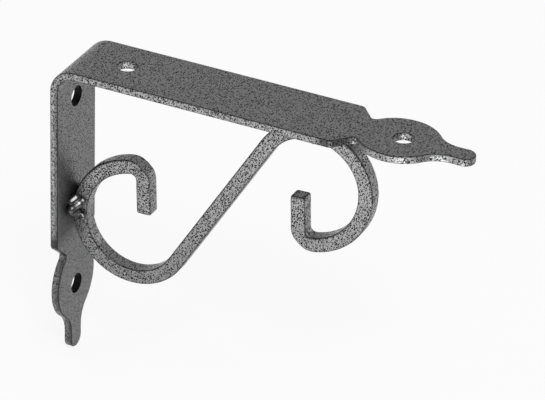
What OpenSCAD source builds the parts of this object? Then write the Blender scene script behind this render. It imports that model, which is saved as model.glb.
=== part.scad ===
// Reinforced shelf bracket.
// One flat bar is cut to an ornamental end at each free end and folded to a right angle.
// An S-scroll of square rod braces the fold. One loop of the S touches the leg and the other
// touches the underside of the arm, and both are welded there.
// X runs out from the wall, Z up to the shelf and Y across the bar. The origin lies on the wall,
// midway between the two wall screws.

/* [Flat bar] */
// Length of the arm under the shelf, from the wall to the tip of its finger
arm_l = 139.5; // [118:0.5:200]
// Height of the leg on the wall, from the shelf to the tip of its finger
leg_l = 108; // [90:0.5:160]
// Width of the bar
bar_w = 25; // [20:0.5:32]
// Thickness of the bar with its coat
bar_t = 2.7; // [2:0.1:4]
// Outside radius of the fold
fold_r = 8.5; // [5:0.5:12]

/* [Ornamental ends] */
// Length of each end, from its square shoulder to the tip of the finger
end_l = 42.7; // [38:0.1:52]
// Slope of the shoulder cut, measured from the bar's long side
shoulder_angle = 49; // [40:1:65]
// Radius in the bottom of the neck
neck_r = 1.6; // [1:0.1:3]
// Distance from the finger's tip back to the widest place of the bulb
bulb_back = 25.2; // [22:0.1:30]
// Width of the bulb
bulb_w = 24; // [19:0.1:30]
// Radius of each side of the bulb
bulb_side_r = 14.2; // [13:0.1:20]
// Radius of the hollow between the bulb and the finger
flank_r = 9.8; // [6:0.1:14]
// Width of the finger
finger_w = 6.6; // [4:0.1:9]

/* [Screw holes] */
// Diameter of the four screw holes
hole_d = 6.7; // [4:0.1:7.5]
// Distance from the wall to the arm's hole near the fold
arm_hole_x = 20.8; // [17:0.1:30]
// Distance from the shelf down to the leg's hole near the fold
leg_hole_down = 15.3; // [13:0.1:26]
// Distance from each finger's tip back to the hole in the bulb
end_hole_back = 23.8; // [20:0.1:28]

/* [S-scroll] */
// Side of the square rod
rod_w = 5; // [4:0.1:7]
// Radius of the rod's four long edges
rod_edge_r = 0.5; // [0.2:0.1:1]
// Distance from the arm's shoulder back to the place where the scroll touches the arm
arm_touch_back = 10.4; // [6:0.1:20]
// Distance from the leg's shoulder up to the place where the scroll touches the leg
leg_touch_back = 9.6; // [6:0.1:20]
// Radius of each loop, on the rod's centre line
loop_r = 18.4; // [15:0.1:21]
// Radius of the wider stretch that leads each loop to its nose, on the centre line
sweep_r = 21.5; // [18:0.1:25]
// Angle that the wider stretch turns through
sweep_turn = 78; // [60:1:90]
// Radius of the tight nose bend, on the centre line
nose_r = 4.6; // [4:0.1:7]
// Depth that the bending tool has pressed off the outer corner of each nose
nose_flat = 0.6; // [0.2:0.1:1]
// Length of the straight stub behind each nose
stub_l = 11.3; // [6:0.1:14]
// Lean of the stubs from upright
stub_lean = 2; // [0:0.5:6]

/* [Welds] */
// Radius of a weld puddle at the foot of a bead
weld_foot_r = 2.5; // [2:0.1:4]
// Radius of a weld puddle at the top of a bead
weld_top_r = 1.6; // [1:0.1:2.5]
// Puddles in one pass of a bead
weld_puddles = 4; // [3:1:6]
// Passes laid side by side in one bead
weld_passes = 2; // [1:1:3]
// Distance from one pass to the next
weld_pitch = 2.6; // [2:0.1:4]
// Rise of each pass along the plate as it crosses the rod
weld_climb = 2.8; // [1:0.1:5]
// Distance from the touching place along the plate to the middle of the bead
weld_shift = 2; // [0:0.1:4]

/* [Hidden] */
$fn = 96;

coat_colour = [0.42, 0.42, 0.43];
weld_colour = [0.50, 0.50, 0.51];

// Sides of the small circles on the rod's edges
edge_fn = 16;
// Length that a cutting shape runs past the face it cuts
past = 1;
// Neighbouring stretches of the rod overlap by this much
lap = 0.1;
// Every second stretch is slimmer by this on each side, so that no two faces coincide
ease = 0.01;
// Largest angle between neighbouring points of a drawn arc
arc_step = 6;

// Places along the bar
arm_shoulder = arm_l - end_l;
leg_shoulder = leg_l - end_l;
arm_end_hole = arm_l - end_hole_back;
leg_end_hole = leg_l - end_hole_back;
wall_screws_mid = (leg_hole_down + leg_end_hole) / 2;

// The cut end: circles and tangent points, with the shoulder's corner at s = 0
bulb_s = end_l - bulb_back;
bulb_centre = [bulb_s, bulb_w / 2 - bulb_side_r];
cut_direction = [cos(shoulder_angle), -sin(shoulder_angle)];
cut_normal = [sin(shoulder_angle), cos(shoulder_angle)];
// The neck's circle touches the shoulder cut and the side of the bulb
neck_start = [0, bar_w / 2] + neck_r * cut_normal - bulb_centre;
neck_along = neck_start * cut_direction;
neck_run = -neck_along - sqrt(pow(neck_along, 2) - neck_start * neck_start + pow(bulb_side_r + neck_r, 2));
neck_centre = bulb_centre + neck_start + neck_run * cut_direction;
// The flank's circle touches the side of the bulb and the side of the finger
flank_y = finger_w / 2 + flank_r;
flank_s = bulb_s + sqrt(pow(bulb_side_r + flank_r, 2) - pow(flank_y - bulb_centre.y, 2));
flank_centre = [flank_s, flank_y];
finger_centre = [end_l - finger_w / 2, 0];
bulb_from = direction(neck_centre - bulb_centre);
bulb_to = direction(flank_centre - bulb_centre);

// The scroll: the strut is the inner tangent of the two loops, which touch the leg and the arm
outer_r = loop_r + rod_w / 2;
touch_x = arm_shoulder - arm_touch_back;
touch_down = leg_shoulder - leg_touch_back;
half_span = [touch_x - bar_t - outer_r, touch_down - bar_t - outer_r] / 2;
strut_half = sqrt(half_span * half_span - loop_r * loop_r);
strut_slope = direction(half_span) + asin(loop_r / norm(half_span));
scroll_centre = [bar_t + outer_r + half_span.x, 0, -(bar_t + outer_r + half_span.y)];
loop_turn = strut_slope + 90;
slim_w = rod_w - 2 * ease;
nose_turn = 180 - sweep_turn - stub_lean;

// Direction of a flat vector, in degrees
function direction(v) = atan2(v.y, v.x);

// Points of an arc from angle a to angle b
function arc(centre, r, a, b) =
    let (n = ceil(abs(b - a) / arc_step))
    [for (i = [0:n]) centre + r * [cos(a + (b - a) * i / n), sin(a + (b - a) * i / n)]];

// One side of the cut end, from the shoulder's corner to the tip of the finger
function end_side() = concat(
    [[0, bar_w / 2]],
    arc(neck_centre, neck_r, -90 - shoulder_angle, bulb_from - 180),
    arc(bulb_centre, bulb_side_r, bulb_from, bulb_to),
    arc(flank_centre, flank_r, bulb_to - 180, -90),
    arc(finger_centre, finger_w / 2, 90, 0)
);

// Outline of one limb with its cut end, from the fold's tangent line outwards
module limb_outline(shoulder) {
    side = [for (p = end_side()) p + [shoulder, 0]];
    far_side = [for (i = [len(side) - 2:-1:0]) [side[i].x, -side[i].y]];
    polygon(concat([[fold_r, bar_w / 2]], side, far_side, [[fold_r, -bar_w / 2]]));
}

// One flat limb along X with its two screw holes
module limb(shoulder, hole_places) {
    difference() {
        linear_extrude(bar_t) limb_outline(shoulder);
        for (x = hole_places)
            translate([x, 0, -past]) cylinder(d = hole_d, h = bar_t + 2 * past);
    }
}

// The quarter ring that joins the two limbs
module fold() {
    translate([fold_r, 0, -fold_r])
        rotate([90, 0, 0])
            rotate([0, 0, 90])
                rotate_extrude(angle = 90)
                    translate([fold_r - bar_t, -bar_w / 2]) square([bar_t, bar_w]);
}

// Flat bar: the arm, the fold and the leg in one piece
module flat_bar() {
    color(coat_colour) on_wall() {
        translate([0, 0, -bar_t]) limb(arm_shoulder, [arm_hole_x, arm_end_hole]);
        fold();
        rotate([0, 90, 0]) limb(leg_shoulder, [leg_hole_down, leg_end_hole]);
    }
}

// Section of the square rod, with its rounded edges
module rod_section(w) {
    flat = w - 2 * rod_edge_r;
    square([w, flat], center = true);
    square([flat, w], center = true);
    for (x = [-1, 1], y = [-1, 1])
        translate([x, y] * flat / 2) circle(r = rod_edge_r, $fn = edge_fn);
}

// Straight stretch of rod along X, between two places
module straight(from, to) {
    translate([from, 0, 0])
        rotate([90, 0, 90])
            linear_extrude(to - from) rod_section(slim_w);
}

// Stretch of rod that sets out along X and bends to the right.
// It has the width w and starts and ends a short run-on early and late.
module bend(r, turn, w, run_on) {
    extra = run_on / r * 180 / PI;
    translate([0, -r, 0])
        rotate([0, 0, 90 - turn - extra])
            rotate_extrude(angle = turn + 2 * extra)
                translate([r, 0]) rod_section(w);
}

// Goes to the end of a bend, where the next stretch sets out along X
module after_bend(r, turn) {
    translate([r * sin(turn), r * cos(turn) - r, 0])
        rotate([0, 0, -turn]) children();
}

// Tight bend with its outer corner pressed flat halfway round
module nose() {
    difference() {
        bend(nose_r, nose_turn, rod_w, 0);
        translate([0, -nose_r, 0])
            rotate([0, 0, 90 - nose_turn / 2])
                translate([nose_r + rod_w / 2 - nose_flat, -rod_w, -rod_w])
                    cube(2 * rod_w);
    }
}

// One loop of the S, from the end of the strut to the cut end of the stub
module loop() {
    bend(loop_r, loop_turn, rod_w, 0);
    after_bend(loop_r, loop_turn) {
        bend(sweep_r, sweep_turn, slim_w, lap);
        after_bend(sweep_r, sweep_turn) {
            nose();
            after_bend(nose_r, nose_turn) straight(-lap, stub_l);
        }
    }
}

// S-scroll: a straight strut with an equal loop at each end
module scroll_rod() {
    color(coat_colour) on_wall()
        translate(scroll_centre) rotate([90, 0, 0]) rotate([0, 0, strut_slope]) {
            straight(-strut_half - lap, strut_half + lap);
            for (turn = [0, 180])
                rotate([0, 0, turn]) translate([strut_half, 0, 0]) loop();
        }
}

// Weld beads on both sides of the rod where it touches a plate.
// The touching place is the origin, the plate fills X < 0 and each bead climbs along +Z.
module weld_pair() {
    reach = 4 * weld_foot_r + rod_w;
    difference() {
        for (side = [-1, 1], pass = [0:weld_passes - 1], i = [0:weld_puddles - 1]) {
            along = i / (weld_puddles - 1);
            r = weld_foot_r + (weld_top_r - weld_foot_r) * along;
            rise = weld_shift + (along - 1 / 2) * weld_climb + (pass - (weld_passes - 1) / 2) * weld_pitch;
            translate([(rod_w - weld_top_r / 2) * along, side * (rod_w / 2 + r / 4), rise]) sphere(r = r);
        }
        translate([-2 * reach, -reach, -reach]) cube(2 * reach);
        translate([-reach, -rod_w / 2, -reach]) cube([2 * reach, rod_w, 2 * reach]);
    }
}

// Weld where the scroll touches the leg
module leg_weld() {
    color(weld_colour) on_wall()
        translate([bar_t, 0, -touch_down]) weld_pair();
}

// Weld where the scroll touches the underside of the arm
module arm_weld() {
    color(weld_colour) on_wall()
        translate([touch_x, 0, -bar_t]) rotate([0, 90, 0]) weld_pair();
}

// Moves from the corner of wall and shelf to the origin between the wall screws
module on_wall() {
    translate([0, 0, wall_screws_mid]) children();
}

flat_bar();
scroll_rod();
leg_weld();
arm_weld();
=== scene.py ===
# %% [markdown]
# # A reinforced shelf bracket in hammered silver-grey coat
#
# The bracket is a flat steel bar, cut to an ornamental end at each free end and folded to a right
# angle. An S-scroll of square rod braces the fold, and short welds hold it. The whole thing was
# then sprayed with hammer finish, a paint that draws itself into small pits as it dries.
# The construction model gives every size. This lesson builds the same shapes again as fine
# meshes, so that they can carry rounded edges, painted shade on the corners and real weld beads.

# %% Load the construction model
import math

import bmesh
import bpy
import numpy as np
from mathutils import Matrix, Vector
from mathutils.geometry import delaunay_2d_cdt


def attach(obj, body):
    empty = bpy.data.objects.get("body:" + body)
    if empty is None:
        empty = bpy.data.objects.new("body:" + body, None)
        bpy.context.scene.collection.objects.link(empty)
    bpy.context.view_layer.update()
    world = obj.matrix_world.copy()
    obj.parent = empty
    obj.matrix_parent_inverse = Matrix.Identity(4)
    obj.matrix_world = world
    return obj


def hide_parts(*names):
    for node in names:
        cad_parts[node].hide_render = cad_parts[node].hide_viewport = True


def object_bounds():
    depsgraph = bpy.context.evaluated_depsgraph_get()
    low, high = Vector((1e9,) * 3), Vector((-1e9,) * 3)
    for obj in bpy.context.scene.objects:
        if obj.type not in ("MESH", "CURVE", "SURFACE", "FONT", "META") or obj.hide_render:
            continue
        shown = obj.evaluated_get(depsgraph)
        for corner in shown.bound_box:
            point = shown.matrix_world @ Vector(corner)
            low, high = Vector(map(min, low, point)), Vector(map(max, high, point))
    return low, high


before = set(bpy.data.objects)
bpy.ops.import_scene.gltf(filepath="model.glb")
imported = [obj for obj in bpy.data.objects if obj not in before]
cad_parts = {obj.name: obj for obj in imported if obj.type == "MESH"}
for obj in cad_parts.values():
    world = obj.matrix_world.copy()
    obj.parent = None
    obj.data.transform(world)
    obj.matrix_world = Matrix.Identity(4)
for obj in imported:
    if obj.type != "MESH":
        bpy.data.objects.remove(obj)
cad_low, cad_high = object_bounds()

print("construction box in mm:", [round(c * 1000, 2) for c in (*cad_low, *cad_high)])

# %% [markdown]
# ## The sizes
# They are in millimetres, as on a workshop drawing. X runs out from the wall, Y across the bar
# and Z up to the shelf. The drawing starts at the corner of wall and shelf, and the model's
# origin lies lower, midway between the wall screws, so the last step lifts everything by
# ORIGIN_DOWN and turns millimetres into metres.

# %% Sizes of the bar and its cut ends
# One drawing millimetre in the model's metres
MM = 0.001
ARM_L, LEG_L = 139.5, 108.0
BAR_W, BAR_T, FOLD_R = 25.0, 2.7, 8.5
END_L, SHOULDER_ANGLE, NECK_R = 42.7, 49.0, 1.6
BULB_BACK, BULB_W, BULB_SIDE_R = 25.2, 24.0, 14.2
FLANK_R, FINGER_W = 9.8, 6.6
HOLE_D, ARM_HOLE_X, LEG_HOLE_DOWN, END_HOLE_BACK = 6.7, 20.8, 15.3, 23.8
ORIGIN_DOWN = (LEG_HOLE_DOWN + LEG_L - END_HOLE_BACK) / 2
ARM_SHOULDER, LEG_SHOULDER = ARM_L - END_L, LEG_L - END_L
# Softening that the cutting and the coat give to long edges, hole rims and shoulder corners
BAR_EDGE_R, HOLE_EDGE_R, CORNER_R = 0.4, 0.1, 2.2
print(f"cut ends start {ARM_SHOULDER:.1f} mm along the arm and {LEG_SHOULDER:.1f} mm down the leg")

# %% [markdown]
# The scroll is sized by its bends and by the two places where its loops must touch the bar. The
# slope and length of the straight strut follow from those, so they are worked out and not
# written: the strut is the line that is tangent to both loops.

# %% Sizes of the scroll
ROD_W, ROD_EDGE_R = 5.0, 0.6
LOOP_R, SWEEP_R, SWEEP_TURN, NOSE_R, NOSE_FLAT = 18.4, 21.5, 78.0, 4.6, 0.6
STUB_L, STUB_LEAN = 11.3, 2.0
ARM_TOUCH_BACK, LEG_TOUCH_BACK = 10.4, 9.6
TOUCH_X, TOUCH_DOWN = ARM_SHOULDER - ARM_TOUCH_BACK, LEG_SHOULDER - LEG_TOUCH_BACK
outer_r = LOOP_R + ROD_W / 2
half_span = np.array([TOUCH_X, TOUCH_DOWN]) / 2 - (BAR_T + outer_r) / 2
STRUT_HALF = math.sqrt(half_span @ half_span - LOOP_R**2)
STRUT_SLOPE = math.degrees(
    math.atan2(half_span[1], half_span[0]) + math.asin(LOOP_R / np.linalg.norm(half_span))
)
LOOP_TURN, NOSE_TURN = STRUT_SLOPE + 90, 180 - SWEEP_TURN - STUB_LEAN
SCROLL_X, SCROLL_Z = BAR_T + outer_r + half_span[0], -(BAR_T + outer_r + half_span[1])
print(f"strut slope {STRUT_SLOPE:.2f} degrees, half length {STRUT_HALF:.2f} mm")

# %% [markdown]
# ## Small helpers for outlines
# Outlines are rows of points about one mesh step apart. Everything is worked out with numpy
# arrays, because a fine mesh has far too many points to visit one by one.

# %% Arcs, straight runs and normals
def arc(centre, radius, start, end, step):
    """Points on a circle from one angle to another, in degrees, about one step apart."""
    count = max(3, math.ceil(abs(math.radians(end - start)) * radius / step))
    angle = np.radians(np.linspace(start, end, count + 1))
    return np.array(centre) + radius * np.c_[np.cos(angle), np.sin(angle)]


def fill_runs(points, step):
    """The same outline, with points added so that no gap is longer than a step."""
    rows = [points[:1]]
    for a, b in zip(points[:-1], points[1:]):
        count = max(1, math.ceil(np.linalg.norm(b - a) / step))
        rows.append(a + (b - a) * np.linspace(0, 1, count + 1)[1:, None])
    return np.vstack(rows)


def left_normals(loop):
    """Unit normals on the left of a closed loop, which is the side away from the metal."""
    along = np.roll(loop, -1, 0) - np.roll(loop, 1, 0)
    normal = np.c_[-along[:, 1], along[:, 0]]
    return normal / np.linalg.norm(normal, axis=1)[:, None]


# About 0.4 mm between points is fine enough for every curve of this bracket to look round
MESH_STEP = 0.36
print("a screw hole gets", len(arc([0, 0], HOLE_D / 2, 0, 360, MESH_STEP)) - 1, "points")

# %% [markdown]
# ## The blank of the flat bar
# On the real bracket a press cuts both ornamental ends out of flat bar before the bar is folded.
# The mesh is made in the same order: first the flat blank, then the fold. One side of a cut end
# is a chain of arcs that run into each other smoothly: a sloping cut at the shoulder, a tight
# neck, a round bulb, a hollow flank and a slim finger.
# It could be cut out of a box with booleans, but those leave long thin triangles that shade
# badly once they are bent. Points worked out along the arcs lie evenly and stay exactly tangent.

# %% One side of a cut end
CORNER_STEP = 0.15


def end_side():
    """Points from just behind the square shoulder to the tip of the finger, for y above 0."""
    slope = math.radians(SHOULDER_ANGLE)
    cut = np.array([math.cos(slope), -math.sin(slope)])
    cut_normal = np.array([math.sin(slope), math.cos(slope)])
    bulb = np.array([END_L - BULB_BACK, BULB_W / 2 - BULB_SIDE_R])
    start = np.array([0, BAR_W / 2]) + NECK_R * cut_normal - bulb
    along = start @ cut
    run = -along - math.sqrt(along**2 - start @ start + (BULB_SIDE_R + NECK_R) ** 2)
    neck = bulb + start + run * cut
    flank_y = FINGER_W / 2 + FLANK_R
    flank_reach = math.sqrt((BULB_SIDE_R + FLANK_R) ** 2 - (flank_y - bulb[1]) ** 2)
    flank = np.array([bulb[0] + flank_reach, flank_y])
    bulb_from = math.degrees(math.atan2(*(neck - bulb)[::-1]))
    bulb_to = math.degrees(math.atan2(*(flank - bulb)[::-1]))
    corner = [-CORNER_R * math.tan(slope / 2), BAR_W / 2 - CORNER_R]
    finger = [END_L - FINGER_W / 2, 0]
    return fill_runs(
        np.vstack([
            arc(corner, CORNER_R, 90, 90 - SHOULDER_ANGLE, CORNER_STEP),
            arc(neck, NECK_R, -90 - SHOULDER_ANGLE, bulb_from - 180, MESH_STEP),
            arc(bulb, BULB_SIDE_R, bulb_from, bulb_to, MESH_STEP)[1:],
            arc(flank, FLANK_R, bulb_to - 180, -90, MESH_STEP)[1:],
            arc(finger, FINGER_W / 2, 90, 0, MESH_STEP),
        ]),
        MESH_STEP,
    )


one_side = end_side()
print(f"one side of a cut end: {len(one_side)} points, finger tip at {one_side[-1].round(2)}")

# %% [markdown]
# The blank's own length runs along q. It is 0 where the arm starts, FOLD_LENGTH of it becomes
# the quarter ring, and the leg lies beyond that at negative q.

# %% Outline of the blank
FOLD_LENGTH = math.pi / 2 * (FOLD_R - BAR_T / 2)
arm_side = one_side + [ARM_SHOULDER - FOLD_R, 0]
leg_side = one_side * [-1, 1] - [LEG_SHOULDER - FOLD_R + FOLD_LENGTH, 0]
top_side = fill_runs(np.vstack([leg_side[::-1], arm_side]), MESH_STEP)
outline = np.vstack([top_side, top_side[-2:0:-1] * [1, -1]])
hole_places = [
    ARM_HOLE_X - FOLD_R,
    ARM_L - END_HOLE_BACK - FOLD_R,
    FOLD_R - FOLD_LENGTH - LEG_HOLE_DOWN,
    FOLD_R - FOLD_LENGTH - (LEG_L - END_HOLE_BACK),
]
holes = [arc([q, 0], HOLE_D / 2, 0, 360, MESH_STEP)[:-1] for q in hole_places]
print(f"outline of {len(outline)} points and {len(holes)} holes")

# %% [markdown]
# Each edge gets a rounded rim. The rim is a stack of rows: a quarter circle inwards and down
# from the top skin, the straight wall, and a quarter circle back under it. A row is given by
# how far it lies inside the outline and how deep below the top skin.
# A bevel modifier rounds edges too. Rows made one by one keep their order, and so each row can
# later carry its own mark for the paint.

# %% The rim's profile
ROUND_ROWS = 4


def rim_profile(radius, thickness, step):
    """Rows of (distance inside the outline, depth) from the top skin round to the bottom one."""
    quarter = np.radians(np.linspace(0, 90, ROUND_ROWS))
    top = radius * np.c_[1 - np.sin(quarter), 1 - np.cos(quarter)]
    wall = fill_runs(np.array([[0, radius], [0, thickness - radius]]), step)
    return np.vstack([top[:-1], wall, top[-2::-1] * [1, -1] + [0, thickness]])


def rim_rows(loop, radius):
    """The loop's rim as rows of points (q, y, depth)."""
    normal = left_normals(loop)
    return [
        np.c_[loop - inside * normal, np.full(len(loop), depth)]
        for inside, depth in rim_profile(radius, BAR_T, MESH_STEP)
    ]


rims = [rim_rows(outline, BAR_EDGE_R)] + [rim_rows(h, HOLE_EDGE_R) for h in holes]
print(f"each rim has {len(rims[0])} rows")

# %% [markdown]
# The two flat skins are filled with triangles of nearly equal size. A constrained triangulation
# keeps the outline and the holes as they are and joins a grid of loose points inside them. One
# large face would look the same while flat, but it could not follow the fold.

# %% Loose points inside a skin
SKIN_STEP, CLEAR_SHARE = 0.40, 0.55


def skin_grid(step):
    """Loose points in a triangular pattern, clear of the outline and the holes."""
    margin = BAR_EDGE_R + CLEAR_SHARE * step
    side = top_side - margin * left_normals(outline)[: len(top_side)]
    q = np.arange(outline[:, 0].min(), outline[:, 0].max(), step)
    y = np.arange(-BAR_W / 2, BAR_W / 2, step * math.sqrt(3) / 2)
    q, row = np.meshgrid(q, np.arange(len(y)))
    points = np.c_[(q + (row % 2) * step / 2).ravel(), y[row].ravel()]
    order = np.argsort(side[:, 0])
    half_width = np.interp(points[:, 0], side[order, 0], side[order, 1], 0, 0)
    keep = np.abs(points[:, 1]) < half_width
    for hole in hole_places:
        keep &= np.hypot(points[:, 0] - hole, points[:, 1]) > HOLE_D / 2 + margin
    return points[keep]


loose = skin_grid(SKIN_STEP)
print(f"{len(loose)} loose points in a skin")

# %% [markdown]
# The triangulation also fills the hollows beside the neck and the four holes. Those triangles
# touch rim points only and lie outside the metal, so both facts together find them.

# %% Triangles of a skin
def triangulate(loops, loose):
    """Triangles over all the points, with the loops kept as edges and the holes left open."""
    points = np.vstack([*loops, loose])
    edges, first = [], 0
    for loop in loops:
        index = np.arange(first, first + len(loop))
        edges += list(zip(index.tolist(), np.roll(index, -1).tolist()))
        first += len(loop)
    made = delaunay_2d_cdt([Vector(p) for p in points], edges, [], 0, 1e-6)
    source = [ids[0] for ids in made[3]]
    triangles = np.array([[source[v] for v in face] for face in made[2]])
    rim_only = (triangles < first).all(1)
    middle = points[triangles].mean(1)
    order = np.argsort(loops[0][: len(top_side), 0])
    edge = loops[0][: len(top_side)][order]
    outside = np.abs(middle[:, 1]) > np.interp(middle[:, 0], edge[:, 0], edge[:, 1], 0, 0)
    for hole in hole_places:
        outside |= np.hypot(middle[:, 0] - hole, middle[:, 1]) < HOLE_D / 2 + HOLE_EDGE_R
    return triangles[~(rim_only & outside)]


skin = triangulate([rim[0][:, :2] for rim in rims], loose)
print(f"a skin has {len(skin)} triangles")

# %% [markdown]
# The coat gets painted shade on the sloping shears, on the leg's cut end and inside the leg's
# holes: it is made darker there. Each point of a rim carries a mark for that, which the coat's
# material reads.

# %% Where painted shade darkens the coat
# Marks run from 0 for no painted shade to 1 for full painted shade, and above 1 in the leg's
# holes, which get no light of their own. The shears' mark fades out over SHEAR_RUN millimetres.
SHEAR_SHADE, SHEAR_RUN, LEG_END_SHADE, HOLE_SHADE = 0.95, 5.5, 0.4, 1.3
# Rows of the rim this near to a skin, as a share of the edge's radius, get a line of painted shade
EDGE_LINE = 0.7
ARM_CUT_Q = ARM_SHOULDER - FOLD_R
LEG_CUT_Q = LEG_SHOULDER - FOLD_R + FOLD_LENGTH


def painted_wall_shade(number, q):
    """How much painted shade the straight wall of a rim gets: on the shears, on the leg's cut end,
    in the leg's holes.
    """
    # Painted shade: a darker coat in the leg's holes, on the shears and on the leg's cut end
    if number:
        return np.full(len(q), HOLE_SHADE * (q.mean() < 0))
    near_cut = np.minimum(np.abs(q - ARM_CUT_Q), np.abs(q + LEG_CUT_Q))
    shear = SHEAR_SHADE * np.clip(2 - 2 * near_cut / SHEAR_RUN, 0, 1)
    return np.maximum(shear, LEG_END_SHADE * (q < -LEG_CUT_Q))


print("highest mark on the outline:", painted_wall_shade(0, rims[0][0][:, 0]).max().round(2))

# %% [markdown]
# The blank is one closed shell: the top skin, the bottom skin turned over, and for each rim a
# band of four-sided faces from row to row. Rims and skins share their points, so nothing has to
# be merged afterwards.

# %% Put skins and rims together
def blank_mesh():
    """All points (q, y, depth), faces and painted-shade marks of the flat blank, a closed shell.
    """
    tops = np.vstack([rim[0] for rim in rims] + [np.c_[loose, np.zeros(len(loose))]])
    bottoms = np.vstack([rim[-1] for rim in rims] + [np.c_[loose, np.full(len(loose), BAR_T)]])
    points, faces = [tops, bottoms], skin.tolist() + (skin[:, ::-1] + len(tops)).tolist()
    marks = [np.zeros(len(tops)), np.zeros(len(tops))]
    count, first = 2 * len(tops), 0
    for number, rim in enumerate(rims):
        width = len(rim[0])
        # Painted shade on the rim's straight wall
        thin = painted_wall_shade(number, rim[0][:, 0])
        index = [np.arange(first, first + width)]
        for row in rim[1:-1]:
            from_skin = min(row[0, 2], BAR_T - row[0, 2])
            points.append(row)
            # Rows near a skin also get a full line of painted shade along the edge
            marks.append(np.maximum(thin, float(from_skin < EDGE_LINE * BAR_EDGE_R)))
            index.append(np.arange(count, count + width))
            count += width
        index.append(np.arange(first, first + width) + len(tops))
        first += width
        for a, b in zip(index[:-1], index[1:]):
            faces += np.c_[a, np.roll(a, -1), np.roll(b, -1), b].tolist()
    return np.vstack(points), faces, np.concatenate(marks)


blank_points, blank_faces, blank_marks = blank_mesh()
# The skin that becomes the leg's inner side gets smoother paint and a darker silver, which is
# painted shade, more and more through the fold
smooth_and_shade_share = (blank_points[:, 2] > BAR_T / 2) * np.clip(-blank_points[:, 0] / FOLD_LENGTH, 0, 1)
print(f"blank: {len(blank_points)} points, {len(blank_faces)} faces")

# %% [markdown]
# ## The fold
# A bar folder bends the blank round a radius. Points on the arm only shift, points in the fold
# turn about its centre line, and points on the leg end up hanging down the wall. A bend modifier
# would curve the whole bar, so the three stretches are worked out here.

# %% Fold the blank
def fold_blank(points):
    """Moves (q, y, depth) of the flat blank to (x, y, z) from the corner of wall and shelf."""
    q, y, depth = points.T
    turn = np.clip(-q / FOLD_LENGTH, 0, 1) * math.pi / 2
    ring = FOLD_R - depth
    x = FOLD_R - ring * np.sin(turn) + np.maximum(q, 0)
    z = -FOLD_R + ring * np.cos(turn) + np.minimum(q + FOLD_LENGTH, 0)
    return np.c_[x, y, z]


folded = fold_blank(blank_points)
print("folded bar in mm:", np.ptp(folded, axis=0).round(2))

# %% [markdown]
# A mesh object takes its points in metres and its faces as lists of point numbers. The marks go
# in as attributes with one value a point. Normals are made to point outwards once, at the end.

# %% Make the bar an object
def new_piece(name, points, faces, marks, smooth=None):
    """A smooth-shaded object from points in drawing millimetres, with marks for its painted shade
    and its smoother, shaded paint.
    """
    mesh = bpy.data.meshes.new(name)
    mesh.from_pydata(((points + [0, 0, ORIGIN_DOWN]) * MM).tolist(), [], faces)
    # Marks of painted shade, and where the paint is smoother and painted darker as shade
    mesh.attributes.new("painted_shade_mark", "FLOAT", "POINT").data.foreach_set("value", marks)
    smooth = np.zeros(len(points)) if smooth is None else smooth
    mesh.attributes.new("smooth_paint_and_shade", "FLOAT", "POINT").data.foreach_set("value", smooth)
    shell = bmesh.new()
    shell.from_mesh(mesh)
    bmesh.ops.recalc_face_normals(shell, faces=shell.faces)
    shell.to_mesh(mesh)
    shell.free()
    mesh.shade_smooth()
    piece = bpy.data.objects.new(name, mesh)
    bpy.context.scene.collection.objects.link(piece)
    return piece


flat_bar = new_piece("hammered_flat_bar", folded, blank_faces, blank_marks, smooth_and_shade_share)
print("flat bar:", len(flat_bar.data.polygons), "faces")

# %% [markdown]
# ## The S-scroll
# The scroll is square rod bent cold round formers: a straight strut, a wide loop at each end,
# a slightly wider sweep, a tight nose and a short stub. The second half is the first one turned
# half round, so the rod looks the same from both of its ends.
# A Bezier curve could be drawn over it, but its handles only come close to true arcs. A former
# gives true arcs, so the line is walked bend by bend, with a radius and an angle for each.

# %% The rod's centre line
ROD_STEP = 0.27


def centre_line():
    """Places (u, w) and headings along the whole rod, from one cut end to the other."""
    bends = [(LOOP_R, LOOP_TURN), (SWEEP_R, SWEEP_TURN), (NOSE_R, NOSE_TURN)]
    half = [(STRUT_HALF, 0)] + [(r * math.radians(t), -1 / r) for r, t in bends] + [(STUB_L, 0)]
    place, heading = np.zeros(2), math.radians(STRUT_SLOPE)
    places, headings = [place], [heading]
    for length, curve in half:
        count = math.ceil(length / ROD_STEP)
        for s in np.linspace(0, length, count + 1)[1:]:
            turned = heading + curve * s
            if curve:
                sides = np.array([math.sin(turned) - math.sin(heading),
                                  math.cos(heading) - math.cos(turned)]) / curve
            else:
                sides = s * np.array([math.cos(heading), math.sin(heading)])
            places.append(place + sides)
            headings.append(turned)
        place, heading = places[-1], headings[-1]
    places, headings = np.array(places), np.array(headings)
    return np.vstack([-places[:0:-1], places]), np.concatenate([headings[:0:-1], headings])


rod_places, rod_headings = centre_line()
rod_run = np.r_[0, np.cumsum(np.linalg.norm(np.diff(rod_places, axis=0), axis=1))]
print(f"rod: {len(rod_places)} sections, {rod_run[-1]:.1f} mm long")

# %% [markdown]
# The section is a square with soft edges. Cold-drawn rod has small rounds, and the coat fills
# them out a little more, so they come out at ROD_EDGE_R.

# %% Section of the square rod
ROD_EDGE_STEP = 0.24


def rod_section():
    """Points (across, y) round the square, with its four soft edges."""
    flat = ROD_W / 2 - ROD_EDGE_R
    turns = [(1, 1, 0), (-1, 1, 90), (-1, -1, 180), (1, -1, 270)]
    corners = [
        arc([a * flat, b * flat], ROD_EDGE_R, t, t + 90, ROD_EDGE_STEP) for a, b, t in turns
    ]
    loop = np.vstack([*corners, corners[0][:1]])
    return fill_runs(loop, ROD_STEP)[:-1]


section = rod_section()
print(f"section of {len(section)} points")

# %% [markdown]
# Sweeping the section along the centre line gives the rod. Each cut end is closed by shrinking
# copies of the section: the first few follow a small quarter circle, which is the soft rim that
# the coat leaves on a sheared end. A curve object would sweep it as well, but it ends in a flat
# lid with sharp corners.

# %% Sweep the section along the line
# The cap's flat part is closed by this many rings, between these shares of the half width
CAP_RINGS, CAP_FROM, CAP_TO = 6, 0.35, 0.92


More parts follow.
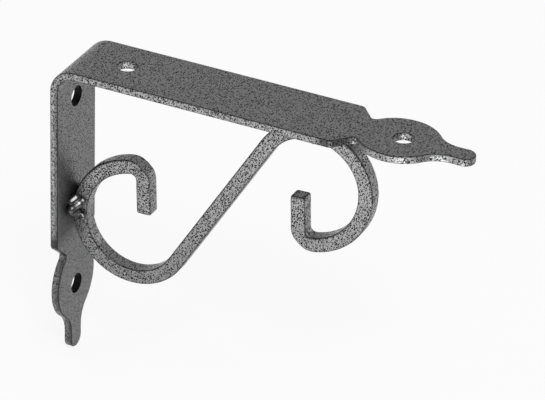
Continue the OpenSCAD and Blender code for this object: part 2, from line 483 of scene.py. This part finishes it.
def swept_points():
    """Rings of points (u, y, w) along the rod, with closing rings at both cut ends."""
    normal = np.c_[-np.sin(rod_headings), np.cos(rod_headings)]
    along = np.c_[np.cos(rod_headings), np.sin(rod_headings)]
    quarter = np.radians(np.linspace(0, 90, ROUND_ROWS))
    closing = [(ROD_EDGE_R * (1 - math.cos(a)), ROD_EDGE_R * (1 - math.sin(a))) for a in quarter]
    closing = closing[1:] + [(ROD_W / 2 * s, 0) for s in np.linspace(CAP_FROM, CAP_TO, CAP_RINGS)]
    rings = []
    for end, way in ((0, 1), (-1, -1)):
        cap = []
        for inside, back in closing[::-1]:
            small = section * (1 - 2 * inside / ROD_W)
            place = rod_places[end] + way * along[end] * back
            flat = place + small[:, :1] * normal[end]
            cap.append(np.c_[flat[:, 0], small[:, 1], flat[:, 1]])
        rings.append(cap)
    keep = (rod_run > ROD_EDGE_R) & (rod_run < rod_run[-1] - ROD_EDGE_R)
    body = []
    for place, across in zip(rod_places[keep], normal[keep]):
        flat = place + section[:, :1] * across
        body.append(np.c_[flat[:, 0], section[:, 1], flat[:, 1]])
    return np.array(rings[0] + body + rings[1][::-1])


rings = swept_points()
print("rings by points:", rings.shape[:2])

# %% [markdown]
# The nose is bent so tightly that the rod suffers for it. The tool presses the outer corner
# flat, the inner corner is pinched, and the metal there has nowhere to go. It swells sideways
# into a small lump beside the corner, with a dent and a wrinkle across the side next to it.
# Sculpting could do this once. Written as soft hills, the same marks fall on both noses.

# %% Press the noses
# Depths of the marks
PINCH, LUMP, DENT, WRINKLE = 0.2, 0.5, 0.35, 0.2
# Where they lie, as distances outwards from the bend's centre, and how far they run
LUMP_AT, LUMP_SIZE, DENT_AT, DENT_SIZE = 3.3, 0.55, 4.4, 0.8
WRINKLE_AT, WRINKLE_THIN, WRINKLE_RUN, WRINKLE_BOW = 6.2, 0.4, 1.8, 0.12
PINCH_RUN, PINCH_FROM = 1.2, 0.3
# Marks on the rod's sides start this far from its middle plane
SIDE_FROM = 1.2


def hill(across, aside, size):
    """1 at a point of the side and less around it, within about that size in millimetres."""
    return np.exp(-((across / size) ** 2) - (aside / size) ** 2)


def press_noses(rings):
    """The same rings with flattened outer corners, pinched inner corners, lumps and dents."""
    made = rings.copy()
    before = STUB_L + NOSE_R * math.radians(NOSE_TURN) / 2
    index = int(np.argmin(np.abs(rod_run - (rod_run[-1] - before))))
    heading = rod_headings[index]
    inward = np.array([math.sin(heading), -math.cos(heading)])
    centre = rod_places[index] + NOSE_R * inward
    for turn in (1, -1):
        from_centre = made[:, :, [0, 2]] - turn * centre
        out = -from_centre @ (turn * inward)
        aside = from_centre @ (turn * inward[::-1] * [1, -1])
        at_nose = np.linalg.norm(from_centre, axis=2) < 2 * NOSE_R
        flatten = np.maximum(out - (NOSE_R + ROD_W / 2 - NOSE_FLAT), 0) * at_nose
        depth = (NOSE_R - PINCH_FROM - out) / (ROD_W / 2 - PINCH_FROM)
        inner_share = np.clip(depth, 0, 1) * (out > 0)
        pinch = PINCH * np.exp(-((aside / PINCH_RUN) ** 2)) * inner_share * at_nose
        made[:, :, [0, 2]] += (flatten - pinch)[..., None] * (turn * inward)
        bowed = (out + WRINKLE_BOW * aside**2 - WRINKLE_AT) / WRINKLE_THIN
        wrinkle = np.exp(-(bowed**2) - (aside / WRINKLE_RUN) ** 2)
        lump = LUMP * hill(out - LUMP_AT, aside, LUMP_SIZE)
        bulk = lump - DENT * hill(out - DENT_AT, aside, DENT_SIZE)
        from_middle = np.abs(made[:, :, 1]) - SIDE_FROM
        on_side = np.clip(from_middle / (ROD_W / 2 - SIDE_FROM), 0, 1)
        made[:, :, 1] += (bulk + WRINKLE * wrinkle) * at_nose * on_side * np.sign(made[:, :, 1])
    return made


pressed = press_noses(rings)
print("deepest mark in mm:", np.linalg.norm(pressed - rings, axis=2).max().round(2))

# %% [markdown]
# A soft edge gets painted shade. Each point is marked with how far it stands on the round of
# an edge, so that the paint can be darker there.

# %% Points, faces and marks of the rod
def rod_mesh(rings):
    """Points in drawing millimetres, faces and painted-shade marks of the closed rod."""
    count, width = rings.shape[:2]
    points = rings.reshape(-1, 3) + [SCROLL_X, 0, SCROLL_Z]
    over = np.maximum(np.abs(section) - (ROD_W / 2 - ROD_EDGE_R), 0)
    on_round = 2 * over[:, 0] * over[:, 1] / np.maximum((over**2).sum(1), 1e-9)
    # Painted shade along the round of each edge
    marks = np.tile(on_round**2, (count, 1))
    # The soft rim of each cut end gets full painted shade all the way round
    marks[CAP_RINGS : CAP_RINGS + 2] = marks[-CAP_RINGS - 2 : -CAP_RINGS] = 1.0
    start = np.arange(count - 1)[:, None] * width
    a = start + np.arange(width)
    b = start + np.roll(np.arange(width), -1)
    faces = np.stack([a, b, b + width, a + width], -1).reshape(-1, 4).tolist()
    tips = np.array([points[:width].mean(0), points[-width:].mean(0)])
    for tip, ring in ((len(points), np.arange(width)), (len(points) + 1, np.arange(width)[::-1])):
        ring = ring + (count - 1) * width * (tip > len(points))
        faces += np.c_[np.roll(ring, -1), ring, np.full(width, tip)].tolist()
    return np.vstack([points, tips]), faces, np.r_[marks.ravel(), 0, 0]


scroll_rod = new_piece("hammered_scroll_rod", *rod_mesh(pressed))
print("scroll rod:", len(scroll_rod.data.polygons), "faces")

# %% [markdown]
# ## The welds
# Where the scroll touches the bar, a few short passes of weld run across the joint on each side.
# Molten metal freezes as overlapping puddles that flow into each other, which is just what
# metaballs do, so each bead is a chain of them, turned into a mesh. Joined spheres would need a
# remesh and a good deal of smoothing for the same melted look. The metaballs are made a
# thousand times too large, because their finest grid is coarser than a millimetre.

# %% Melt a chain of puddles into one bead
BEAD_GRID, MELT_LEVEL = 0.16, 0.6
# A ball's field ends beyond its skin, so a puddle's ball is this much larger than the puddle
BALL_SHARE, STIFFNESS = 1.62, 2.2


def weld_bead(name, puddles):
    """A bead from puddles (x, y, z, radius), in millimetres, melted together."""
    drops = bpy.data.metaballs.new(name + "_drops")
    drops.resolution = drops.render_resolution = BEAD_GRID
    drops.threshold = MELT_LEVEL
    for x, y, z, radius in puddles:
        drop = drops.elements.new(type="BALL")
        drop.co = (x, y, z)
        drop.radius = radius * BALL_SHARE
        drop.stiffness = STIFFNESS
    holder = bpy.data.objects.new(name + "_drops", drops)
    bpy.context.scene.collection.objects.link(holder)
    bpy.context.view_layer.update()
    grown = holder.evaluated_get(bpy.context.evaluated_depsgraph_get())
    mesh = bpy.data.meshes.new_from_object(grown)
    bpy.data.objects.remove(holder)
    bpy.data.metaballs.remove(drops)
    mesh.transform(Matrix.Scale(MM, 4))
    mesh.name = name
    mesh.shade_smooth()
    piece = bpy.data.objects.new(name, mesh)
    bpy.context.scene.collection.objects.link(piece)
    return piece


print(f"a bead's mesh follows a grid of {BEAD_GRID} mm")

# %% [markdown]
# A pass is a row of puddles that starts on the plate, climbs beside the rod and dies out on the
# rod's side. It freezes as a flattened ribbon over the metal that filled the corner first, so
# each step of a ribbon is two puddles side by side and a larger one sunk below them. Two
# ribbons slant up the rod, a rounder pass closes the foot of the joint, and a last drop hangs
# on the rod's side. The flat of a ribbon catches the light as one long gleam. The welder lays
# them by eye, so a seeded random shift makes no two puddles alike.

# %% Passes of the weld, on both sides of the rod
# Places are (out of the plate, away from the bar's middle line, along the plate), in millimetres.
# A pass runs from a thick start to a thin end, and half_w is half the width between its two
# puddles. The foot has none, so its puddles fall together and swell it.
PASSES = {
    "upper": dict(start=(0.6, 5.3, 4.5), end=(2.0, 3.2, 5.8), thick=0.85, thin=0.8, half_w=0.35),
    "middle": dict(start=(1.2, 6.5, 2.4), end=(4.2, 2.7, 5.0), thick=0.85, thin=0.8, half_w=0.38),
    "foot": dict(start=(0.4, 5.0, 1.2), end=(3.2, 2.7, -0.4), thick=1.35, thin=0.95, half_w=0),
    "drop": dict(start=(3.7, 3.7, -0.8), end=(4.2, 3.1, -0.45), thick=0.8, thin=0.8, half_w=0.4),
}
WITH_CORE, CORE_R, CORE_SINK = ("upper", "middle"), 1.3, 0.9
# The way that the flat of a ribbon faces, in the same three directions
RIBBON_FACE = np.array([0.377, 0.667, 0.643])
# The far side's passes climb less, by this share, so they end short of the rod's outer face
PUDDLES, SHAKE, FAR_SHARE = 15, 0.02, 0.8
# The leg's joint and the arm's joint each start their own row of random shifts
LEG_SEED, ARM_SEED = 4, 9


def weld_passes(seed):
    """Puddles (out of the plate, y, along the plate, radius) for both sides of one joint."""
    hand = np.random.default_rng(seed)
    puddles = []
    for side in (-1, 1):
        for name, lay in PASSES.items():
            start, end = np.array(lay["start"]), np.array(lay["end"])
            across = np.cross(end - start, RIBBON_FACE)
            across *= lay["half_w"] / np.linalg.norm(across)
            for t in np.linspace(0, 1, PUDDLES):
                middle = start + (end - start) * t + hand.normal(0, SHAKE, 3)
                radius = lay["thick"] + (lay["thin"] - lay["thick"]) * t
                made = [(middle - across, radius), (middle + across, radius)]
                if name in WITH_CORE:
                    made.append((middle - CORE_SINK * RIBBON_FACE, CORE_R))
                for (out, away, along), r in made:
                    out *= FAR_SHARE if side > 0 else 1
                    puddles.append((out, side * away, along, r))
    return puddles


print("puddles in a joint:", len(weld_passes(LEG_SEED)))

# %% [markdown]
# The same passes serve both joints. On the leg, along the plate means up, and under the arm it
# means back towards the wall. Each joint has its own seed, so its puddles lie a little
# differently.

# %% Lay both welds
leg_puddles = [
    (BAR_T + out, y, along - TOUCH_DOWN + ORIGIN_DOWN, r)
    for out, y, along, r in weld_passes(LEG_SEED)
]
arm_puddles = [
    (TOUCH_X - along, y, -BAR_T - out + ORIGIN_DOWN, r)
    for out, y, along, r in weld_passes(ARM_SEED)
]
leg_weld = weld_bead("leg_weld_bead", leg_puddles)
arm_weld = weld_bead("arm_weld_bead", arm_puddles)
print("weld beads:", len(leg_weld.data.polygons), "and", len(arm_weld.data.polygons), "faces")

# %% [markdown]
# ## The hammered coat
# Hammer finish is a paint with aluminium flakes. It dries into a bright metallic skin that pulls
# back from small pits, where the flakes have sunk and the darker base shows. To the eye it is a
# soft metallic grey, full of dull dark specks less than a millimetre apart.
# A painted image would stretch round the bends and show seams. Patterns worked out in the
# object's own space have neither, and their sizes are true millimetres everywhere.
# One small function adds a node with its settings and links, and every material is built with
# it. Colours are written as on a paint card, and one function turns them to linear light.

# %% Colours and the add-node function
# A Mix node's colour sockets share their names with its other sockets, so they go by place
MIX_A, MIX_B, MIX_OUT = 6, 7, 2


def paint(hex_code):
    """A written sRGB colour as linear values with alpha."""
    parts = [int(hex_code[i : i + 2], 16) / 255 for i in (1, 3, 5)]
    linear = [c / 12.92 if c <= 0.04045 else ((c + 0.055) / 1.055) ** 2.4 for c in parts]
    return (*linear, 1)


def add(tree, kind, links=None, **settings):
    """A node of that kind. Settings are its own values, and links are its sockets' values."""
    node = tree.nodes.new(kind)
    for name, value in settings.items():
        setattr(node, name, value)
    for name, value in (links or {}).items():
        socket = node.inputs[name]
        if isinstance(value, bpy.types.NodeSocket):
            tree.links.new(value, socket)
        else:
            socket.default_value = value
    return node


def bare_material(name):
    """A new material and its node tree, still empty."""
    material = bpy.data.materials.new(name)
    material.use_nodes = True
    material.node_tree.nodes.clear()
    return material, material.node_tree


print("mid grey #808080 is", round(paint("#808080")[0], 3), "in linear light")

# %% [markdown]
# The pits come from a cell pattern: each cell has one centre at a random place, and a pit is
# wherever the surface passes close to a centre. Every cell also has a random value of its own,
# which makes some pits wide and lets others close up. A slow noise crowds them here and there.
# On this kind of paint the pits lie a little over half a millimetre apart, and thicker and
# thinner patches are 2 to 3 mm wide. Both are drawn at their real size.

# %% The pattern of pits
# Millimetres between pits and across a crowd of them
PIT_CELL, CROWD_SIZE = 0.57, 2.2
# How much a pit's own size and its crowd move its edge, as shares of a cell
PIT_VARY, CROWDING = 0.22, 0.02


def pit_reach(tree, place):
    """How far a place lies from the middle of its pit, in cells, with the pit's own size in it."""
    cells = add(tree, "ShaderNodeTexVoronoi", {"Vector": place, "Scale": 1 / (PIT_CELL * MM)})
    own = add(tree, "ShaderNodeSeparateColor", {0: cells.outputs["Color"]})
    vary = add(tree, "ShaderNodeMath",
               {0: own.outputs[0], 1: PIT_VARY, 2: cells.outputs["Distance"]},
               operation="MULTIPLY_ADD")
    cloud = add(tree, "ShaderNodeTexNoise",
                {"Vector": place, "Scale": 1 / (CROWD_SIZE * MM), "Detail": 3})
    crowd = add(tree, "ShaderNodeMath", {0: cloud.outputs[0], 1: CROWDING, 2: vary.outputs[0]},
                operation="MULTIPLY_ADD")
    centred = add(tree, "ShaderNodeMath", {0: crowd.outputs[0], 1: (PIT_VARY + CROWDING) / 2},
                  operation="SUBTRACT")
    return centred.outputs[0]


print(f"pits {PIT_CELL} mm apart, {1 / PIT_CELL**2:.1f} in a square millimetre")

# %% [markdown]
# Between the pits the flakes lie at all angles, so the silver is a mix of lighter and darker
# grains. A real flake is about 0.05 mm, too fine to show, so the grains are drawn at 0.2 mm,
# the size of the clusters that the eye makes out. The leg's inner side gets smoother paint with
# a little fainter pits, and a darker silver there, which is painted shade.
# Flake paint is nearly all metal to the light, with a soft gloss, so it starts from metallic 1
# and roughness 0.3, with the IOR left alone. Its binder takes the metal down to 0.9, and a pit
# is rough and dull.

# %% Values of the hammered coat
# The silver of the leg's inner side is darker: painted shade
SILVER, SHADED_SMOOTH_SILVER, PIT_DARK = "#909091", "#737374", "#060606"
# Grain size in millimetres, and how much darker and lighter a grain is than the silver
FLAKE_SIZE, FLAKE_DARK, FLAKE_LIGHT = 0.20, 0.3, 1.5
# Nearly all values of a noise lie between these two
NOISE_LOW, NOISE_HIGH = 0.3, 0.7
# A pit is all dark up to PIT_IN and ends at PIT_OUT; its hollow is wider (shares of a cell)
PIT_IN, PIT_OUT, BOWL_IN, BOWL_OUT = 0.30, 0.43, 0.10, 0.60
PIT_DEPTH = 0.11
METAL_SHARE, COAT_ROUGH, PIT_ROUGH = 0.9, 0.30, 0.75
# How dark the painted shade gets where its mark is full, and how much fainter the pits of the
# smoother paint are
EDGE_SHADE, SMOOTHING = 0.75, 0.2


def flake_tone(tree, place, size, dark, light):
    """Lighter and darker grains of a size in millimetres, as a factor for the silver."""
    flakes = add(tree, "ShaderNodeTexNoise",
                 {"Vector": place, "Scale": 1 / (size * MM), "Detail": 2})
    tone = add(tree, "ShaderNodeMapRange",
               {"Value": flakes.outputs[0], "From Min": NOISE_LOW, "From Max": NOISE_HIGH,
                "To Min": dark, "To Max": light})
    return tone.outputs[0]


pit_widths = [round(2 * reach * PIT_CELL, 2) for reach in (PIT_IN, PIT_OUT)]
print("a mean pit is all dark over", pit_widths[0], "mm and ends at", pit_widths[1], "mm")

# %% [markdown]
# The material joins four things: the silver with its grains, the dark pits, painted shade on
# the edges, and a bump that makes each pit a shallow bowl. The silver skin thins out towards a
# pit, so the dark is mixed in over a soft but narrow border.
# The pits are only a tenth of a millimetre deep, too fine for the mesh, so they are the one
# shape that is left to a bump.

# %% The hammered coat
def hammered_coat(name):
    """Aluminium-flake hammer finish, sprayed and dried: soft metallic grey with dull dark pits,
    and painted shade where marked.
    """
    material, tree = bare_material(name)
    place = add(tree, "ShaderNodeTexCoord").outputs["Object"]
    reach = pit_reach(tree, place)
    # Smoother paint with fainter pits, and a darker silver as painted shade, on the leg's inner
    # side
    smooth = add(tree, "ShaderNodeAttribute", attribute_name="smooth_paint_and_shade").outputs["Fac"]
    share = add(tree, "ShaderNodeMapRange",
                {"Value": smooth, "To Min": 1, "To Max": 1 - SMOOTHING})
    hollow = add(tree, "ShaderNodeMapRange",
                 {"Value": reach, "From Min": PIT_IN, "From Max": PIT_OUT,
                  "To Min": 1, "To Max": 0},
                 interpolation_type="SMOOTHSTEP")
    pit = add(tree, "ShaderNodeMath", {0: hollow.outputs[0], 1: share.outputs[0]},
              operation="MULTIPLY").outputs[0]
    bowl = add(tree, "ShaderNodeMapRange",
               {"Value": reach, "From Min": BOWL_IN, "From Max": BOWL_OUT},
               interpolation_type="SMOOTHSTEP")
    tone = flake_tone(tree, place, FLAKE_SIZE, FLAKE_DARK, FLAKE_LIGHT)
    plain = add(tree, "ShaderNodeMix",
                {0: smooth, MIX_A: paint(SILVER), MIX_B: paint(SHADED_SMOOTH_SILVER)}, data_type="RGBA")
    silver = add(tree, "ShaderNodeMix",
                 {0: share.outputs[0], MIX_A: plain.outputs[MIX_OUT], MIX_B: tone},
                 data_type="RGBA", blend_type="MULTIPLY")
    edge = add(tree, "ShaderNodeAttribute", attribute_name="painted_shade_mark").outputs["Fac"]
    # Painted shade from the mark, mixed in like a pit: darker shears, leg end, leg holes and edges
    thin = add(tree, "ShaderNodeMath", {0: edge, 1: EDGE_SHADE}, operation="MULTIPLY")
    pit_or_shade = add(tree, "ShaderNodeMath", {0: pit, 1: thin.outputs[0]}, operation="MAXIMUM")
    colour = add(tree, "ShaderNodeMix",
                 {0: pit_or_shade.outputs[0], MIX_A: silver.outputs[MIX_OUT], MIX_B: paint(PIT_DARK)},
                 data_type="RGBA")
    dull = add(tree, "ShaderNodeMapRange",
               {"Value": pit, "To Min": COAT_ROUGH, "To Max": PIT_ROUGH})
    relief = add(tree, "ShaderNodeBump",
                 {"Height": bowl.outputs[0], "Distance": PIT_DEPTH * MM,
                  "Strength": share.outputs[0]})
    skin = add(tree, "ShaderNodeBsdfPrincipled",
               {"Base Color": colour.outputs[MIX_OUT], "Roughness": dull.outputs[0],
                "Metallic": METAL_SHARE, "Normal": relief.outputs[0]})
    add(tree, "ShaderNodeOutputMaterial", {"Surface": skin.outputs[0]})
    return material


coat = hammered_coat("hammer_finish_aluminium_flake_paint")
print(coat.name, "has", len(coat.node_tree.nodes), "nodes")

# %% [markdown]
# Over a weld the same paint runs smooth. It pools in darker and lighter clouds, hardly draws
# into pits and dries to a wet shine, so its ribbons gleam. Both of its colours are darker than
# the bar's silver, as painted shade for the dark surroundings that the bead mirrors. The first
# material could take a mask for this, but a second one stays easier to read. Clouds as wide as a
# pass, 1.8 mm, carry the pooling, and the flakes are again drawn coarser than real, at 0.22 mm.

# %% Paint over the welds
# Sizes and the ripple's height in millimetres
RUN_SIZE, RUN_GRAIN, RUN_RIPPLE = 1.8, 0.22, 0.03
# Both colours are darker than the bar's silver, as painted shade
RUN_SHADED_SILVER, RUN_SHADED_DARK, RUN_ROUGH = "#626263", "#363637", 0.20
GRAIN_DARK, GRAIN_LIGHT = 0.55, 1.3
POOL_LOW, POOL_HIGH = 0.35, 0.65


def weld_paint(name):
    """The same paint run smooth over a bead: dark and silver clouds darkened as painted shade,
    fine grain, a wet shine.
    """
    material, tree = bare_material(name)
    place = add(tree, "ShaderNodeTexCoord").outputs["Object"]
    clouds = add(tree, "ShaderNodeTexNoise",
                 {"Vector": place, "Scale": 1 / (RUN_SIZE * MM), "Detail": 0}).outputs[0]
    pool = add(tree, "ShaderNodeMapRange",
               {"Value": clouds, "From Min": POOL_LOW, "From Max": POOL_HIGH})
    run = add(tree, "ShaderNodeMix",
              {0: pool.outputs[0], MIX_A: paint(RUN_SHADED_DARK), MIX_B: paint(RUN_SHADED_SILVER)},
              data_type="RGBA")
    tone = flake_tone(tree, place, RUN_GRAIN, GRAIN_DARK, GRAIN_LIGHT)
    colour = add(tree, "ShaderNodeMix", {0: 1.0, MIX_A: run.outputs[MIX_OUT], MIX_B: tone},
                 data_type="RGBA", blend_type="MULTIPLY")
    ripple = add(tree, "ShaderNodeBump", {"Height": clouds, "Distance": RUN_RIPPLE * MM})
    skin = add(tree, "ShaderNodeBsdfPrincipled",
               {"Base Color": colour.outputs[MIX_OUT], "Roughness": RUN_ROUGH,
                "Metallic": METAL_SHARE, "Normal": ripple.outputs[0]})
    add(tree, "ShaderNodeOutputMaterial", {"Surface": skin.outputs[0]})
    return material


weld_coat = weld_paint("hammer_finish_run_smooth_over_weld")
print(weld_coat.name, "has", len(weld_coat.node_tree.nodes), "nodes")

# %% [markdown]
# ## Finish and construction together
# Each piece takes its coat and stands in for one node of the construction model. The bracket
# is one rigid thing, so every piece rides on the root.

# %% Put the coats on and tie the pieces to the construction
for piece, finish, node, slot in (
    (flat_bar, coat, "flat_bar", "hammered_coat"),
    (scroll_rod, coat, "scroll_rod", "hammered_coat"),
    (leg_weld, weld_coat, "leg_weld", "coated_weld"),
    (arm_weld, weld_coat, "arm_weld", "coated_weld"),
):
    piece.data.materials.append(finish)
    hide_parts(node)
    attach(piece, "root")

# %% [markdown]
# ## The studio
# The bracket stands on the tip of its leg over a wide pale floor. The floor is one large sheet,
# half a millimetre below the tip, and carries on past everything that can be seen.

# %% Floor
FLOOR_HALF, FLOOR_GAP = 5.0, 0.0005
FLOOR_Z = cad_low.z - FLOOR_GAP


def flat_sheet(name, low_x, high_x, low_y, high_y, z):
    """A level sheet of one face, for the floor or a card, between its limits in metres."""
    mesh = bpy.data.meshes.new(name)
    corners = [(low_x, low_y, z), (high_x, low_y, z), (high_x, high_y, z), (low_x, high_y, z)]
    mesh.from_pydata(corners, [], [(0, 1, 2, 3)])
    sheet = bpy.data.objects.new(name, mesh)
    bpy.context.scene.collection.objects.link(sheet)
    return sheet


floor = flat_sheet("pale_floor", -FLOOR_HALF, FLOOR_HALF, -FLOOR_HALF, FLOOR_HALF, FLOOR_Z)
print(f"floor at {FLOOR_Z * 1000:.2f} mm")

# %% [markdown]
# The floor is matt white card. Lit by the lamps alone it would come out grey, and more light
# would spoil the bracket. So to the eye and in glossy reflections most of it is its own plain
# white, and the rest is real card, which keeps the bracket's soft shadow. Rays that carry light
# from surface to surface only meet the card.

# %% Matt white card
CARD_WHITE, FLOOR_WHITE = "#FAFAFA", 0.84


def matt_white(name):
    """Matt white card that is mostly its full white to the eye and in reflections."""
    material, tree = bare_material(name)
    card = add(tree, "ShaderNodeBsdfDiffuse", {"Color": paint(CARD_WHITE)})
    white = add(tree, "ShaderNodeEmission", {"Strength": 1.0})
    ray = add(tree, "ShaderNodeLightPath")
    seen = add(tree, "ShaderNodeMath",
               {0: ray.outputs["Is Camera Ray"], 1: ray.outputs["Is Glossy Ray"]},
               operation="MAXIMUM")
    share = add(tree, "ShaderNodeMath", {0: seen.outputs[0], 1: FLOOR_WHITE},
                operation="MULTIPLY")
    both = add(tree, "ShaderNodeMixShader",
               {0: share.outputs[0], 1: card.outputs[0], 2: white.outputs[0]})
    add(tree, "ShaderNodeOutputMaterial", {"Surface": both.outputs[0]})
    return material


floor.data.materials.append(matt_white("matt_white_card"))
print(f"the floor is {FLOOR_WHITE:.0%} its own white to the eye")

# %% [markdown]
# ## The lamps
# A metal mostly shows what surrounds it, so the room itself gives most of the light: a white
# world at about half strength. Soft boxes add form to it. A weak one hangs overhead, and one in
# front above gives the welds and soft edges their gleam. Three low and wide ones stand round
# the bracket, for its near side, its wall side and the leg's inner face. One strong lamp would
# be simpler, but it glares off flake paint and blackens what it doesn't reach.

# %% Lamps
ROOM_LIGHT = 0.54
# Middle of the bracket, for aiming, in metres
AIM_X = 0.06


def soft_lamp(name, turn, rise, away, width, height, watts):
    """A soft box aimed at the bracket, placed by its turn round it and its rise, in degrees."""
    turn, rise = math.radians(turn), math.radians(rise)
    level = math.cos(rise)
    way = Vector((math.sin(turn) * level, -math.cos(turn) * level, math.sin(rise)))
    lamp = bpy.data.lights.new(name, "AREA")
    lamp.shape, lamp.size, lamp.size_y, lamp.energy = "RECTANGLE", width, height, watts
    holder = bpy.data.objects.new(name, lamp)
    holder.location = Vector((AIM_X, 0, 0)) + way * away
    holder.rotation_euler = (-way).to_track_quat("-Z", "Y").to_euler()
    bpy.context.scene.collection.objects.link(holder)


soft_lamp("overhead_softbox", turn=20, rise=82, away=1.5, width=0.45, height=0.45, watts=1)
soft_lamp("front_top_softbox", turn=35, rise=50, away=1.5, width=0.5, height=0.5, watts=7)
for name, turn, rise in (
    ("left_softbox", 255, 12),
    ("near_left_softbox", 315, 12),
    ("far_right_softbox", 125, 15),
):
    soft_lamp(name, turn, rise, away=2.0, width=1.9, height=0.7, watts=4)
world = bpy.data.worlds.new("studio_room")
world.use_nodes = True
world.node_tree.nodes["Background"].inputs["Color"].default_value = (1, 1, 1, 1)
world.node_tree.nodes["Background"].inputs["Strength"].default_value = ROOM_LIGHT
bpy.context.scene.world = world
bpy.context.scene.view_settings.view_transform = "Standard"
print("lamps:", [lamp.name for lamp in bpy.data.lights])

# %% [markdown]
# Upright faces mirror the floor in front of them, so small cards on the floor shape their
# gloss, as a product photographer would do it. A black card at the right darkens the gloss of
# faces that look that way. It only shows in reflections.

# %% Black card
CARD_BLACK = "#101010"


def matt_black(name):
    """Matt black card, which swallows nearly all light."""
    material, tree = bare_material(name)
    card = add(tree, "ShaderNodeBsdfDiffuse", {"Color": paint(CARD_BLACK)})
    add(tree, "ShaderNodeOutputMaterial", {"Surface": card.outputs[0]})
    return material


card_z = FLOOR_Z + FLOOR_GAP
black_card = flat_sheet("black_card", low_x=0.25, high_x=0.45, low_y=-0.11, high_y=0.05, z=card_z)
black_card.visible_camera = black_card.visible_diffuse = black_card.visible_shadow = False
black_card.data.materials.append(matt_black("matt_black_card"))
print("black card covers", [round(v, 2) for v in black_card.dimensions[:2]], "m")

# %% [markdown]
# Two white cards in front, lit like light tables, brighten the lower gloss of the near faces
# and put a light line on soft edges. Each is an area lamp that lies on the floor and faces up.

# %% Lit white cards
def lit_card(name, low_x, high_x, low_y, high_y, watts):
    """A white card lit from below, lying on the floor."""
    lamp = bpy.data.lights.new(name, "AREA")
    lamp.shape, lamp.energy = "RECTANGLE", watts
    lamp.size, lamp.size_y = high_x - low_x, high_y - low_y
    holder = bpy.data.objects.new(name, lamp)
    holder.location = ((low_x + high_x) / 2, (low_y + high_y) / 2, FLOOR_Z + 2 * FLOOR_GAP)
    holder.rotation_euler = (math.pi, 0, 0)
    bpy.context.scene.collection.objects.link(holder)
    print(name, f"{lamp.size:.2f} x {lamp.size_y:.2f} m, {watts} W")


lit_card("front_left_card", low_x=-0.12, high_x=0.07, low_y=-0.30, high_y=-0.09, watts=0.10)
lit_card("front_right_card", low_x=0.105, high_x=0.24, low_y=-0.22, high_y=-0.07, watts=0.25)

# %% [markdown]
# ## The camera
# A long lens from well away keeps the arm and the strut nearly free of perspective. It stands
# 26 degrees round to the right and 30 degrees up, and so shows the top of the arm, the inner
# face of the leg and the near side of the scroll.

# %% Camera
# Degrees round, up and tilted; metres away; millimetres of lens and film
AZIMUTH, ELEVATION, ROLL = 25.632, 29.975, 1.604
DISTANCE, LENS, SENSOR = 1.300, 274.25, 36.0
# A point near the strut's middle, and how far right and above it the lens aims, in metres
LOOK_X, LOOK_DOWN, LOOK_RIGHT, LOOK_UP = 0.072, 0.050, 0.00055, 0.01393
round_by, up_by, tilt_by = (math.radians(v) for v in (AZIMUTH, ELEVATION, ROLL))
back = Vector((math.sin(round_by) * math.cos(up_by), -math.cos(round_by) * math.cos(up_by),
               math.sin(up_by)))
level = Vector((math.cos(round_by), math.sin(round_by), 0))
right = math.cos(tilt_by) * level + math.sin(tilt_by) * back.cross(level)
up = back.cross(right)
aim = Vector((LOOK_X, 0, ORIGIN_DOWN * MM - LOOK_DOWN)) + right * LOOK_RIGHT + up * LOOK_UP
lens = bpy.data.cameras.new("long_lens")
lens.lens, lens.sensor_width = LENS, SENSOR
lens.clip_end = 20
camera = bpy.data.objects.new("camera", lens)
facing = Matrix((right, up, back)).transposed().to_4x4()
camera.matrix_world = Matrix.Translation(aim + back * DISTANCE) @ facing
bpy.context.scene.collection.objects.link(camera)
bpy.context.scene.camera = camera
print("camera at", [round(v, 4) for v in camera.location])
